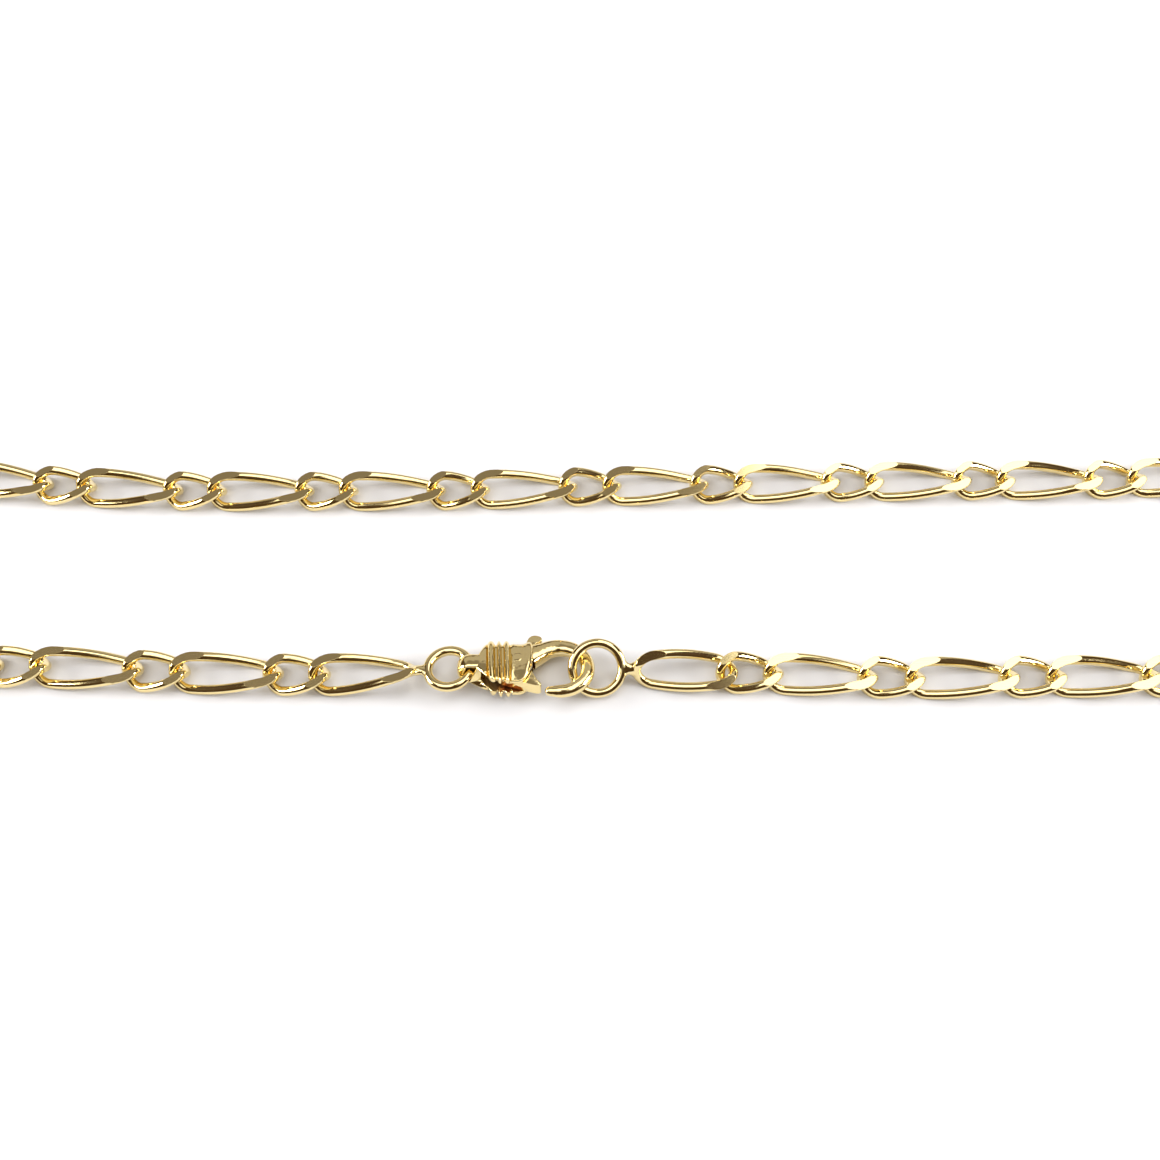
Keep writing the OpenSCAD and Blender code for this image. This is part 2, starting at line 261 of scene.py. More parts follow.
# %% Helpers for rims and pieces
UP = Vector((0, 0, 1))
SAME_PLACE = 0.001 * MM


def start_rim(bm, radius, sides, place):
    """A ring of edges round the local X axis of a place."""
    turn = Matrix.Rotation(math.pi / 2, 4, "Y")
    made = bmesh.ops.create_circle(bm, segments=sides, radius=radius, matrix=place @ turn)
    return list({edge for vert in made["verts"] for edge in vert.link_edges})


def rim_verts(rim):
    """The corners of a list of edges, each once."""
    return list({vert for edge in rim for vert in edge.verts})


def carry_on(bm, rim, step):
    """Extrudes a rim once and moves the new rim by a matrix."""
    made = bmesh.ops.extrude_edge_only(bm, edges=rim)["geom"]
    verts = {item for item in made if isinstance(item, bmesh.types.BMVert)}
    bmesh.ops.transform(bm, matrix=step, verts=list(verts))
    edges = [item for item in made if isinstance(item, bmesh.types.BMEdge)]
    return [edge for edge in edges if verts.issuperset(edge.verts)]


def keep_above_table(bm):
    """Levels what would stand below the table."""
    for vert in bm.verts:
        vert.co.z = max(vert.co.z, 0)


def middle_of(rim):
    """The mean place of a rim's corners."""
    verts = rim_verts(rim)
    return sum((vert.co for vert in verts), Vector()) / len(verts)


def scaled_about(centre, factor):
    """A scale about a point: factor is a number or one factor for each axis."""
    factors = factor if isinstance(factor, tuple) else (factor,) * 3
    size = Matrix.Diagonal((*factors, 1))
    return Matrix.Translation(centre) @ size @ Matrix.Translation(-centre)


def round_off(bm, rim, out, bulge, steps=4):
    """Closes a rim with a round end that stands out by bulge along a direction."""
    sink = 0.0
    width = 1.0
    for step in range(1, steps):
        angle = step / steps * math.pi / 2
        centre = middle_of(rim)
        rise = bulge * math.sin(angle) - sink
        shrink = math.cos(angle) / width
        rim = carry_on(bm, rim, Matrix.Translation(out * rise) @ scaled_about(centre, shrink))
        sink = bulge * math.sin(angle)
        width = math.cos(angle)
    pole = middle_of(rim) + out * (bulge - sink)
    last = carry_on(bm, rim, Matrix.Identity(4))
    bmesh.ops.pointmerge(bm, verts=rim_verts(last), merge_co=pole)


def spun(bm, rim, centre, angle, steps):
    """Bends a rim round an upright axis and returns the last rim."""
    geometry = list(rim) + rim_verts(rim)
    made = bmesh.ops.spin(
        bm, geom=geometry, cent=centre, axis=UP, angle=angle, steps=steps, use_duplicate=False
    )
    return [item for item in made["geom_last"] if isinstance(item, bmesh.types.BMEdge)]


def tidy(bm):
    """Merges what lies double and turns every face outwards."""
    bmesh.ops.remove_doubles(bm, verts=bm.verts, dist=SAME_PLACE)
    bmesh.ops.recalc_face_normals(bm, faces=bm.faces)


def as_piece(bm, name, materials):
    """Turns a bmesh into an object at the origin with its finishes."""
    mesh = bpy.data.meshes.new(name)
    bm.to_mesh(mesh)
    bm.free()
    for material in materials:
        mesh.materials.append(material)
    piece = bpy.data.objects.new(name, mesh)
    bpy.context.scene.collection.objects.link(piece)
    triangles = sum(len(face.vertices) - 2 for face in mesh.polygons)
    print(name, "has", triangles, "triangles")
    return piece


# %% [markdown]
# ## One link
# A link starts as a ring of wire that runs straight, bends, runs back and bends again. The whole
# oval is then twisted about its length, so that one side stands up at one end and the other side
# at the other end. Last comes the grinding: two level cuts take off what stands too high and too
# low. Modelling the flats by hand would guess their outline, and a cut gives it exactly.

# %% Make the links
WIRE_D = 0.95 * MM
LINK_W = 4.1 * MM
LONG_LEN = 11 * MM
SHORT_LEN = 6.55 * MM
CHAIN_T = 2.05 * MM
LINK_TWIST = math.radians(50)
WIRE_SIDES = 20
BEND_STEPS = 14
LONG_STEPS = 8
SHORT_STEPS = 4
EDGE_BREAK = 0.035 * MM
EDGE_BREAK_STEPS = 2
ON_PLANE = 0.0005 * MM


def run_straight(bm, rim, distance, steps):
    """Carries a rim on along X in equal steps."""
    for _ in range(steps):
        rim = carry_on(bm, rim, Matrix.Translation((distance / steps, 0, 0)))
    return rim


def link_form(length, run_steps):
    """A twisted and ground link about its own middle, along X."""
    bm = bmesh.new()
    bend_r = (LINK_W - WIRE_D) / 2
    half = (length - WIRE_D) / 2
    bend_x = half - bend_r
    rim = start_rim(bm, WIRE_D / 2, WIRE_SIDES, Matrix.Translation((-bend_x, -bend_r, 0)))
    rim = run_straight(bm, rim, 2 * bend_x, run_steps)
    rim = spun(bm, rim, (bend_x, 0, 0), math.pi, BEND_STEPS)
    rim = run_straight(bm, rim, -2 * bend_x, run_steps)
    spun(bm, rim, (-bend_x, 0, 0), math.pi, BEND_STEPS)
    tidy(bm)
    for vert in bm.verts:
        vert.co.rotate(Matrix.Rotation(-LINK_TWIST * vert.co.x / half, 3, "X"))
    for face in bm.faces:
        face.smooth = True
    for side in (1, -1):
        grind(bm, side)
    map_along(bm)
    return bm


def grind(bm, side):
    """Cuts a link level at half the chain's thickness and breaks the new edge a little."""
    whole = list(bm.verts) + list(bm.edges) + list(bm.faces)
    cut = bmesh.ops.bisect_plane(
        bm,
        geom=whole,
        dist=ON_PLANE,
        plane_co=(0, 0, side * CHAIN_T / 2),
        plane_no=(0, 0, side),
        clear_outer=True,
    )
    rim = [item for item in cut["geom_cut"] if isinstance(item, bmesh.types.BMEdge)]
    flats = bmesh.ops.holes_fill(bm, edges=rim)["faces"]
    for face in flats:
        face.material_index = 1
        face.smooth = False
    bmesh.ops.bevel(
        bm,
        geom=rim,
        offset=EDGE_BREAK,
        affect="EDGES",
        segments=EDGE_BREAK_STEPS,
        profile=0.5,
        material=-1,
        clamp_overlap=True,
    )


def map_along(bm):
    """Stores each link's own length and width as a map, in millimetres."""
    layer = bm.loops.layers.uv.new("along")
    for face in bm.faces:
        for loop in face.loops:
            loop[layer].uv = (loop.vert.co.x / MM, loop.vert.co.y / MM)


long_link = link_form(LONG_LEN, LONG_STEPS)
short_link = link_form(SHORT_LEN, SHORT_STEPS)
print("long link:", len(long_link.faces), "faces, short link:", len(short_link.faces))

# %% [markdown]
# ## Sixty-one links in their places
# The frame holds every link as a loose solid, so nothing has to be laid out again. Each solid's
# middle is the mean of its corners, and the way it points is the long axis of its footprint. A link
# looks the same when it is turned end for end, so the axis alone is enough.

# %% Read the places and set the links down
LONG_FROM = 8.5 * MM


def loose_parts(node):
    """The corners of each separate solid of a node, as lists of points."""
    bm = bmesh.new()
    bm.from_mesh(node.data)
    bmesh.ops.remove_doubles(bm, verts=bm.verts, dist=SAME_PLACE)
    unseen = set(bm.verts)
    parts = []
    while unseen:
        front = [unseen.pop()]
        points = []
        while front:
            vert = front.pop()
            points.append(vert.co.copy())
            beside = {edge.other_vert(vert) for edge in vert.link_edges} & unseen
            unseen -= beside
            front.extend(beside)
        parts.append(points)
    bm.free()
    return parts


def place_of(points):
    """The matrix that lays a link where a loose solid lies, and that solid's length."""
    middle = sum(points, Vector()) / len(points)
    offsets = [point - middle for point in points]
    xx = sum(o.x * o.x for o in offsets)
    yy = sum(o.y * o.y for o in offsets)
    xy = sum(o.x * o.y for o in offsets)
    turn = Matrix.Rotation(math.atan2(2 * xy, xx - yy) / 2, 4, "Z")
    along = turn @ Vector((1, 0, 0))
    reach = [o.dot(along) for o in offsets]
    return Matrix.Translation(middle) @ turn, max(reach) - min(reach)


def add_form(bm, form, place):
    """Adds a copy of one bmesh to another, moved by a matrix."""
    copy = bpy.data.meshes.new("copy")
    form.to_mesh(copy)
    copy.transform(place)
    bm.from_mesh(copy)
    bpy.data.meshes.remove(copy)


def lay_links(node_name, name):
    """Makes one piece of all links of a chain node."""
    bm = bmesh.new()
    for points in loose_parts(frame["nodes"][node_name]):
        place, length = place_of(points)
        add_form(bm, long_link if length > LONG_FROM else short_link, place)
    piece = as_piece(bm, name, [wire_gold, flat_gold])
    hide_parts(node_name)
    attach(piece, "necklace")


lay_links("chain_left", "left_links")
lay_links("chain_right", "right_links")

# %% [markdown]
# ## The clasp's own frame
# The clasp lies rolled about the strand, and everything on it is easier to build straight. The
# lever's hinge is the one place that the frame states outright: its point and its axis. From them
# comes a matrix that takes the clasp's own millimetres to the table, X from its tail to its hook,
# Y across with the gate at -Y, and Z along the hinge.

# %% Find the clasp
PIN = Vector((5.8, 0.3, 0)) * MM
hinge = frame["joints"][0]
hinge_axis = Vector(hinge["axis"]).normalized()
roll = math.atan2(-hinge_axis.y, hinge_axis.z)
clasp_place = (
    Matrix.Translation(Vector(hinge["pos_m"]))
    @ Matrix.Rotation(roll, 4, "X")
    @ Matrix.Translation(-PIN)
)
strand_start = clasp_place @ Vector()
print("clasp rolled by", round(math.degrees(roll), 1), "degrees")

# %% [markdown]
# ## The soldered end links
# At each end of the chain a last long link is soldered to a jump ring. A ring is a full spin of a
# rim of wire. The solder is a little waist of metal that flares where it wets both wires, so it is
# carried on as a rim that narrows and widens again, and it runs into both of them.

# %% Make the end links
MID_Z = CHAIN_T / 2
SOLDER_GAP = 0.4 * MM
RING_BITE = 0.75
LINK_BITE = 0.6
RING_STEPS = 72


def ring_form(outer_d, wire_d):
    """A closed ring of wire about the origin."""
    bm = bmesh.new()
    radius = (outer_d - wire_d) / 2
    place = Matrix.Translation((0, -radius, 0))
    rim = start_rim(bm, wire_d / 2, WIRE_SIDES, place)
    spun(bm, rim, (0, 0, 0), 2 * math.pi, RING_STEPS)
    tidy(bm)
    for face in bm.faces:
        face.smooth = True
    map_along(bm)
    return bm


SOLDER_SHAPE = [
    # share of the way, half width, half height
    (0.0, 1.05, 0.4),
    (0.2, 1.0, 0.42),
    (0.34, 0.8, 0.43),
    (0.45, 0.62, 0.43),
    (0.55, 0.56, 0.43),
    (0.66, 0.64, 0.44),
    (0.8, 0.86, 0.46),
    (1.0, 1.02, 0.46),
]


def solder_form(ring_d, ring_wire):
    """A waist of solder from inside the ring's wire to inside the link's bend."""
    bm = bmesh.new()
    start = ring_d / 2 - RING_BITE * ring_wire
    length = SOLDER_GAP + RING_BITE * ring_wire + LINK_BITE * WIRE_D
    share, wide, high = SOLDER_SHAPE[0]
    flat = Matrix.Diagonal((1, wide, high, 1))
    rim = start_rim(bm, MM, WIRE_SIDES, Matrix.Translation((start, 0, 0)) @ flat)
    for next_share, next_wide, next_high in SOLDER_SHAPE[1:]:
        grown = scaled_about(middle_of(rim), (1, next_wide / wide, next_high / high))
        moved = Matrix.Translation(((next_share - share) * length, 0, 0))
        rim = carry_on(bm, rim, moved @ grown)
        share, wide, high = next_share, next_wide, next_high
    for vert in bm.verts:
        share = (vert.co.x - start) / length
        vert.co.rotate(Matrix.Rotation(LINK_TWIST * share, 3, "X"))
    bmesh.ops.holes_fill(bm, edges=bm.edges)
    bmesh.ops.recalc_face_normals(bm, faces=bm.faces)
    for face in bm.faces:
        face.smooth = len(face.verts) == 4
    map_along(bm)
    return bm


def end_link(name, node_name, ring_d, ring_wire, ring_roll, link_len, link_roll, place):
    """Makes one piece of a ring, its solder and its link, from the ring's middle along X."""
    bm = bmesh.new()
    ring = ring_form(ring_d, ring_wire)
    add_form(bm, ring, place @ Matrix.Rotation(ring_roll, 4, "X"))
    turned = place @ Matrix.Rotation(link_roll, 4, "X")
    solder = solder_form(ring_d, ring_wire)
    add_form(bm, solder, turned)
    link = link_form(link_len, LONG_STEPS)
    middle = ring_d / 2 + SOLDER_GAP + link_len / 2
    add_form(bm, link, turned @ Matrix.Translation((middle, 0, 0)))
    for part in (ring, solder, link):
        part.free()
    keep_above_table(bm)
    piece = as_piece(bm, name, [wire_gold, flat_gold])
    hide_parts(node_name)
    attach(piece, "necklace")


LARGE_RING_D = 5.65 * MM
LARGE_RING_WIRE = 0.9 * MM
LARGE_RING_X = 13.305 * MM
LARGE_RING_ROLL = math.radians(28)
RING_LINK_ROLL = math.radians(22)
RING_LINK_LEN = 10.25 * MM
RING_LINK_LIFT = 0.06 * MM
HOOKED = 1.205 * MM
ring_link_reach = LARGE_RING_D / 2 + SOLDER_GAP + RING_LINK_LEN - HOOKED
ring_link_drop = math.asin((strand_start.z - MID_Z - RING_LINK_LIFT) / ring_link_reach)
ring_centre = strand_start + Vector((LARGE_RING_X, 0, 0))
ring_place = Matrix.Translation(ring_centre) @ Matrix.Rotation(ring_link_drop, 4, "Y")
end_link(
    "ring_link",
    "ring_end_link",
    LARGE_RING_D,
    LARGE_RING_WIRE,
    LARGE_RING_ROLL,
    RING_LINK_LEN,
    RING_LINK_ROLL,
    ring_place,
)

SMALL_RING_D = 5 * MM
SMALL_RING_WIRE = 0.95 * MM
SMALL_RING_X = -0.75 * MM
SMALL_RING_ROLL = math.radians(8)
CLASP_LINK_LEN = 10.6 * MM
CLASP_LINK_TURN = math.radians(181.7)
small_ring_r = (SMALL_RING_D - SMALL_RING_WIRE) / 2
clasp_link_reach = SMALL_RING_D / 2 + SOLDER_GAP + CLASP_LINK_LEN - HOOKED
clasp_link_drop = math.asin((strand_start.z - MID_Z) / (clasp_link_reach + small_ring_r))
small_ring_sink = small_ring_r * math.sin(clasp_link_drop)
small_centre = strand_start + Vector((SMALL_RING_X, 0, -small_ring_sink))
small_place = (
    Matrix.Translation(small_centre)
    @ Matrix.Rotation(CLASP_LINK_TURN, 4, "Z")
    @ Matrix.Rotation(clasp_link_drop, 4, "Y")
)
end_link(
    "clasp_link",
    "clasp_end_link",
    SMALL_RING_D,
    SMALL_RING_WIRE,
    SMALL_RING_ROLL,
    CLASP_LINK_LEN,
    SMALL_RING_ROLL,
    small_place,
)

# %% [markdown]
# ## The clasp's barrel
# The barrel is a cast trough: a round back with two straight walls, open at the front, with three
# fat ribs round its collar. One section is a line in the shape of a U, and a shell is lofted
# through such sections from the tail to the hook. The ribs are on the outside only, so there is a
# ribbed outer shell and a plain inner one, bridged along their rims. Solidify would offset the ribs
# inwards too, where they would run through each other. The stations are in the clasp's millimetres,
# because there are many of them, and each section turns its own into metres.

# %% Make the barrel
BARREL_WALL = 0.42
SHOULDER = 1.4
CROWN = 2.6
NECK_HALF = 1.28
TAIL_STATIONS = [
    # along, half width, shoulder, top, front edge
    (2.0, 1.2, 0.25, 1.1, 0.95),
    (2.3, 1.26, 0.75, 1.75, 1.25),
    (2.6, 1.29, 1.15, 2.3, 1.6),
    (2.85, 1.3, 1.3, 2.58, 1.85),
]
RIB_BASE = 1.24
RIB_WIDE = 0.26
RIB_TALL = 0.34
RIB_GROOVE = 0.16
RIBS = [
    # start along the clasp, width
    (2.93, 0.78),
    (3.85, 0.48),
    (4.48, 0.62),
]
RIB_SWELL = [
    # share of a rib's width, share of its height
    (0.0, 0.0), (0.08, 0.36), (0.2, 0.68), (0.34, 0.92), (0.5, 1.0), (0.66, 0.92), (0.8, 0.68),
    (0.92, 0.36), (1.0, 0.0),
]
RIB_FRONT = 1.85
RIB_FRONT_MOST = 2.3
RIB_FRONT_SLOPE = 0.6
RIB_FRONT_SWELL = 0.75
HOOK_END_STATIONS = [
    # along, half width, shoulder, top, front edge
    (5.32, 1.27, SHOULDER, CROWN, 2.45),
    (5.5, 1.24, SHOULDER, 2.57, 2.45),
    (6.0, 1.23, SHOULDER, 2.56, 2.45),
    (6.3, 1.26, SHOULDER, CROWN, 2.32),
    (6.52, 1.35, SHOULDER, 2.72, 2.1),
    (6.75, 1.41, SHOULDER, 2.82, 1.7),
    (6.95, 1.41, SHOULDER, 2.82, 1.2),
    (7.1, 1.34, 1.35, 2.68, 0.8),
    (7.2, 1.2, 1.25, 2.4, 0.5),
]
RIB_LEAN = 0.06
LIP_DRAW = 1.05
LIP_FROM = 0.5
LIP_FADE = 0.6
BACK_STEPS = 18
WALL_STEPS = 6
SOFT_EDGE = 0.17 * MM
SOFT_EDGE_STEPS = 3
WALL_SWELL = 0.05
WALL_TUCK = 0.2


def barrel_stations():
    """Every station of the outer and of the inner shell, with the lean of its section."""
    tail_end = TAIL_STATIONS[0][0]
    start_of_ribs = RIBS[0][0]
    outer = []
    for x, *sizes in TAIL_STATIONS:
        outer.append((x, *sizes, RIB_LEAN * (x - tail_end) / (start_of_ribs - tail_end)))
    plain = list(outer)
    for start, width in RIBS:
        for share, swell in RIB_SWELL:
            x = start + share * width
            rise = swell * RIB_WIDE - RIB_GROOVE * (1 - swell)
            front = min(RIB_FRONT_MOST, RIB_FRONT + RIB_FRONT_SLOPE * (x - start_of_ribs))
            front += RIB_FRONT_SWELL * rise
            crown = CROWN + swell * RIB_TALL
            outer.append((x, RIB_BASE + rise, SHOULDER, crown, front, RIB_LEAN))
            plain.append((x, NECK_HALF, SHOULDER, CROWN, front, RIB_LEAN))
    outer += [(*station, 0.0) for station in HOOK_END_STATIONS]
    plain += [(*station, 0.0) for station in HOOK_END_STATIONS]
    inner = []
    for x, half, shoulder, top, front, lean in plain:
        pushed = BARREL_WALL * max(0, (start_of_ribs - x) / (start_of_ribs - tail_end))
        inner.append((x + pushed, half - BARREL_WALL, shoulder, top - BARREL_WALL, front, lean))
    return outer, inner


def trough_section(bm, station):
    """An open U of edges across the clasp at one station."""
    x, half, shoulder, top, front, lean = (value * MM for value in station)
    there = set(bm.edges)
    start = bmesh.ops.create_vert(bm, co=(x, shoulder, -half))["vert"][0]
    made = bmesh.ops.spin(
        bm,
        geom=[start],
        cent=(x, shoulder, 0),
        axis=(1, 0, 0),
        angle=math.pi,
        steps=BACK_STEPS,
        use_duplicate=False,
    )
    end = [item for item in made["geom_last"] if isinstance(item, bmesh.types.BMVert)][0]
    arc = rim_verts(set(bm.edges) - there)
    squash = scaled_about(Vector((x, shoulder, 0)), (1, (top - shoulder) / half, 1))
    bmesh.ops.transform(bm, matrix=squash, verts=arc)
    for last in (start, end):
        side = math.copysign(MM, last.co.z)
        for step in range(1, WALL_STEPS + 1):
            share = step / WALL_STEPS
            last = bmesh.ops.extrude_vert_indiv(bm, verts=[last])["verts"][0]
            swell = WALL_SWELL * math.sin(math.pi * share) - WALL_TUCK * share**4
            z = math.copysign(half, side) + side * swell
            last.co = (x, shoulder - share * (front + shoulder), z)
    edges = [edge for edge in bm.edges if edge not in there]
    for vert in rim_verts(edges):
        vert.co.x -= lean / MM * vert.co.y
    return edges


def trough_shell(bm, stations):
    """A shell through all stations, closed at the tail, and its open rim."""
    there = set(bm.edges)
    sections = [trough_section(bm, station) for station in stations]
    for before, after in zip(sections, sections[1:]):
        bmesh.ops.bridge_loops(bm, edges=before + after)
    tail = sections[0]
    ends = []
    for vert in rim_verts(tail):
        if sum(edge in tail for edge in vert.link_edges) == 1:
            ends.append(vert)
    bridge = bmesh.ops.contextual_create(bm, geom=ends)["edges"]
    bmesh.ops.contextual_create(bm, geom=tail + bridge)
    return [edge for edge in bm.edges if edge.is_boundary and edge not in there]


def draw_out_lip(bm):
    """Draws the lower wall out towards the tail, so that its front edge slants."""
    for vert in bm.verts:
        before_ribs = RIBS[0][0] * MM - vert.co.x
        low = min(1, max(0, (-vert.co.z / MM - LIP_FROM) / LIP_FADE))
        if before_ribs > 0:
            vert.co.x -= LIP_DRAW * low * before_ribs


def barrel_form():
    """Both shells, joined by a softened rim."""
    bm = bmesh.new()
    outer, inner = barrel_stations()
    outer_rim = trough_shell(bm, outer)
    outside = set(bm.faces)
    inner_rim = trough_shell(bm, inner)
    # the inner shell takes the second finish, the one with painted shade inside the barrel
    for face in bm.faces:
        face.material_index = 0 if face in outside else 1
    draw_out_lip(bm)
    bmesh.ops.bridge_loops(bm, edges=outer_rim + inner_rim)
    bmesh.ops.recalc_face_normals(bm, faces=bm.faces)
    bmesh.ops.bevel(
        bm,
        geom=outer_rim + inner_rim,
        offset=SOFT_EDGE,
        affect="EDGES",
        segments=SOFT_EDGE_STEPS,
        profile=0.5,
        material=0,
        clamp_overlap=True,
    )
    for face in bm.faces:
        face.smooth = True
    return bm


barrel = as_piece(barrel_form(), "barrel", [cast_gold, hollow_gold_painted_shade])

# %% [markdown]
# ## The hook and the tail eye
# The hook is one bent taper: thick where it leaves the barrel, thinner round the bend, and thin at
# its rounded tip. A curve object with a bevel could make it, and a rim that is turned and scaled
# step by step gives the same and leaves the section free: it is pressed a little flat, which gives
# its top a broad even tone. The eye at the tail is a flat strap bent back on itself.

# %% Make the hook
HOOK_R = 2.66 * MM
HOOK_AT = Vector((9.75, -0.17, 0)) * MM
HOOK_SWEEP = math.radians(205)
HOOK_STEPS = 40
HOOK_SIDES = 24
HOOK_TIP_LEN = 0.95 * MM
TIP_SLIM = 0.28
TIP_ROUND = 0.4 * MM
ROOT_AT = Vector((6.95, 1.25, 0)) * MM
BAR_R = 0.61 * MM
ARCH_R = 0.86 * MM
ARCH_GROWTH = 1.6
ROOT_R = 1.2 * MM
ROOT_GROWTH = 1.2
ROOT_SHARES = (0.2, 0.4, 0.6, 0.8, 1.0)
TIP_SHARES = (0.25, 0.5, 0.75, 1.0)
PRESSED = 0.62 * MM
PRESS_SHARE = 0.5


def hook_form():
    """The hook from its bar round the bend to its root, and back from the bar to its tip."""
    bm = bmesh.new()
    start = HOOK_AT + Vector((0, -HOOK_R, 0))
    first = start_rim(bm, BAR_R, HOOK_SIDES, Matrix.Translation(start))
    turn = (
        Matrix.Translation(HOOK_AT)
        @ Matrix.Rotation(HOOK_SWEEP / HOOK_STEPS, 4, "Z")
        @ Matrix.Translation(-HOOK_AT)
    )
    rim = first
    wide = BAR_R
    for step in range(HOOK_STEPS):
        grown = BAR_R + (ARCH_R - BAR_R) * ((step + 1) / HOOK_STEPS) ** ARCH_GROWTH
        rim = carry_on(bm, rim, turn @ scaled_about(middle_of(rim), grown / wide))
        wide = grown
    run = (ROOT_AT - middle_of(rim)) / len(ROOT_SHARES)
    for share in ROOT_SHARES:
        grown = ARCH_R + (ROOT_R - ARCH_R) * share**ROOT_GROWTH
        widened = scaled_about(middle_of(rim), grown / wide)
        rim = carry_on(bm, rim, Matrix.Translation(run) @ widened)
        wide = grown
    bmesh.ops.holes_fill(bm, edges=rim)
    rim = first
    wide = 1.0
    back = Matrix.Translation((-HOOK_TIP_LEN / len(TIP_SHARES), 0, 0))
    for share in TIP_SHARES:
        slim = 1 - TIP_SLIM * share
        rim = carry_on(bm, rim, back @ scaled_about(middle_of(rim), slim / wide))
        wide = slim
    round_off(bm, rim, Vector((-1, 0, 0)), TIP_ROUND)
    tidy(bm)
    for side in (1, -1):
        press(bm, side)
    for face in bm.faces:
        face.smooth = True
    return bm


def press(bm, side):
    """Levels the hook's top or underside beyond the pressed half thickness."""
    for vert in bm.verts:
        over = side * vert.co.z - PRESSED
        if over > 0:
            vert.co.z -= side * over * PRESS_SHARE


EYE_HALF_W = 0.8 * MM
EYE_HALF_T = 0.25 * MM
EYE_R = 1.05 * MM
EYE_BEND_X = 1.3 * MM
EYE_END_X = 2.65 * MM
EYE_SIDES = 24
EYE_STEPS = 18
EYE_RUN_STEPS = 3


def eye_form():
    """A flat strap with rounded edges, bent back on itself round the tail."""
    bm = bmesh.new()
    centre = Vector((EYE_BEND_X, 0, 0))
    flat = Matrix.Diagonal((1, EYE_HALF_W, EYE_HALF_T, 1))
    rim = start_rim(bm, 1, EYE_SIDES, Matrix.Translation((EYE_END_X, 0, EYE_R)) @ flat)
    rim = run_straight(bm, rim, EYE_BEND_X - EYE_END_X, EYE_RUN_STEPS)
    turn = (
        Matrix.Translation(centre)
        @ Matrix.Rotation(-math.pi / EYE_STEPS, 4, "Y")
        @ Matrix.Translation(-centre)
    )
    for _ in range(EYE_STEPS):
        rim = carry_on(bm, rim, turn)
    run_straight(bm, rim, EYE_END_X - EYE_BEND_X, EYE_RUN_STEPS)
    bmesh.ops.holes_fill(bm, edges=bm.edges)
    bmesh.ops.recalc_face_normals(bm, faces=bm.faces)
    for face in bm.faces:
        face.smooth = len(face.verts) == 4
    return bm


hook = as_piece(hook_form(), "hook", [cast_gold, hollow_gold_painted_shade])
eye = as_piece(eye_form(), "tail_eye", [cast_gold, hollow_gold_painted_shade])

# %% [markdown]
# ## The slot for the thumb pad
# The lever's arm comes out through the barrel's back, beside the hook's root. A box is cut from both
# with a Boolean, before they are joined, because each of them is one clean closed shell. The cut's
# own edges are then marked sharp, or smooth shading would smear the light over them.

# %% Cut the slot and join the clasp
SLOT_FROM = 5.37 * MM
SLOT_TO = 7.5 * MM
SLOT_W = 0.85 * MM
SLOT_DEEP = 5 * MM
SLOT_MID_Y = 3.3 * MM
SHARP_FROM = math.radians(45)


def slot_cutter():
    """The box that is cut away for the lever's arm."""
    bm = bmesh.new()
    size = Vector((SLOT_TO - SLOT_FROM, SLOT_DEEP, SLOT_W))
    middle = Vector(((SLOT_FROM + SLOT_TO) / 2, SLOT_MID_Y, 0))
    place = Matrix.Translation(middle) @ Matrix.Diagonal((*size, 1))
    bmesh.ops.create_cube(bm, size=1, matrix=place)
    return as_piece(bm, "slot_cutter", [cast_gold])


def shaped(piece):
    """Applies a piece's modifiers and marks its sharp edges, so that its mesh is final."""
    evaluated = piece.evaluated_get(bpy.context.evaluated_depsgraph_get())
    mesh = bpy.data.meshes.new_from_object(evaluated)
    mesh.set_sharp_from_angle(angle=SHARP_FROM)
    piece.modifiers.clear()
    piece.data = mesh


cutter = slot_cutter()
for part in (barrel, hook):
    cut = part.modifiers.new("slot", "BOOLEAN")
    cut.operation = "DIFFERENCE"
    cut.object = cutter
    shaped(part)
bpy.data.objects.remove(cutter)


def joined(parts, name, place):
    """Several parts as one piece, laid in its place on the table."""
    bm = bmesh.new()
    for part in parts:
        bm.from_mesh(part.data)
    materials = list(parts[0].data.materials)
    for part in parts:
        bpy.data.objects.remove(part)
    bmesh.ops.transform(bm, matrix=place, verts=bm.verts)
    keep_above_table(bm)
    map_along(bm)
    return as_piece(bm, name, materials)


clasp = joined([barrel, hook, eye], "clasp_casting", clasp_place)
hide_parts("clasp_body")
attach(clasp, "necklace")

# %% [markdown]
# ## The lever
# The lever is a small plate with a boss round its pin, a gate that closes the hook and an arm that
# ends in a pad for the thumb nail. Each plate is drawn flat from a few corners that are cut twice,
# extruded to its thickness and bevelled until no edge is sharp, as the tumbling leaves it.

# %% Make the lever
LEVER_T = 1.22 * MM
LEVER_PLAN = [
    (4.95, 0.35), (5.3, 0.95), (5.85, 1.12), (6.4, 0.9), (6.66, 0.25), (7.2, -0.95), (7.75, -2.05),
    (8.05, -2.3), (8.05, -2.5), (7.85, -2.62), (7.5, -2.62), (4.05, -1.5),
]
LEVER_SOFT = 0.12 * MM
CORNER_CUTS = (0.2 * MM, 0.08 * MM)
MOST_CUT = 0.3
PLATE_SOFT_STEPS = 3
ARM_T = 0.7 * MM
ARM_PLAN = [
    (5.4, 0.3), (6.2, 0.3), (7.1, 2.35), (7.4, 2.8), (7.8, 3.05), (8.05, 3.3), (8.0, 3.55),
    (7.7, 3.78), (7.3, 3.85), (6.95, 3.75), (6.65, 3.4), (6.5, 2.7),
]
ARM_SOFT = 0.22 * MM


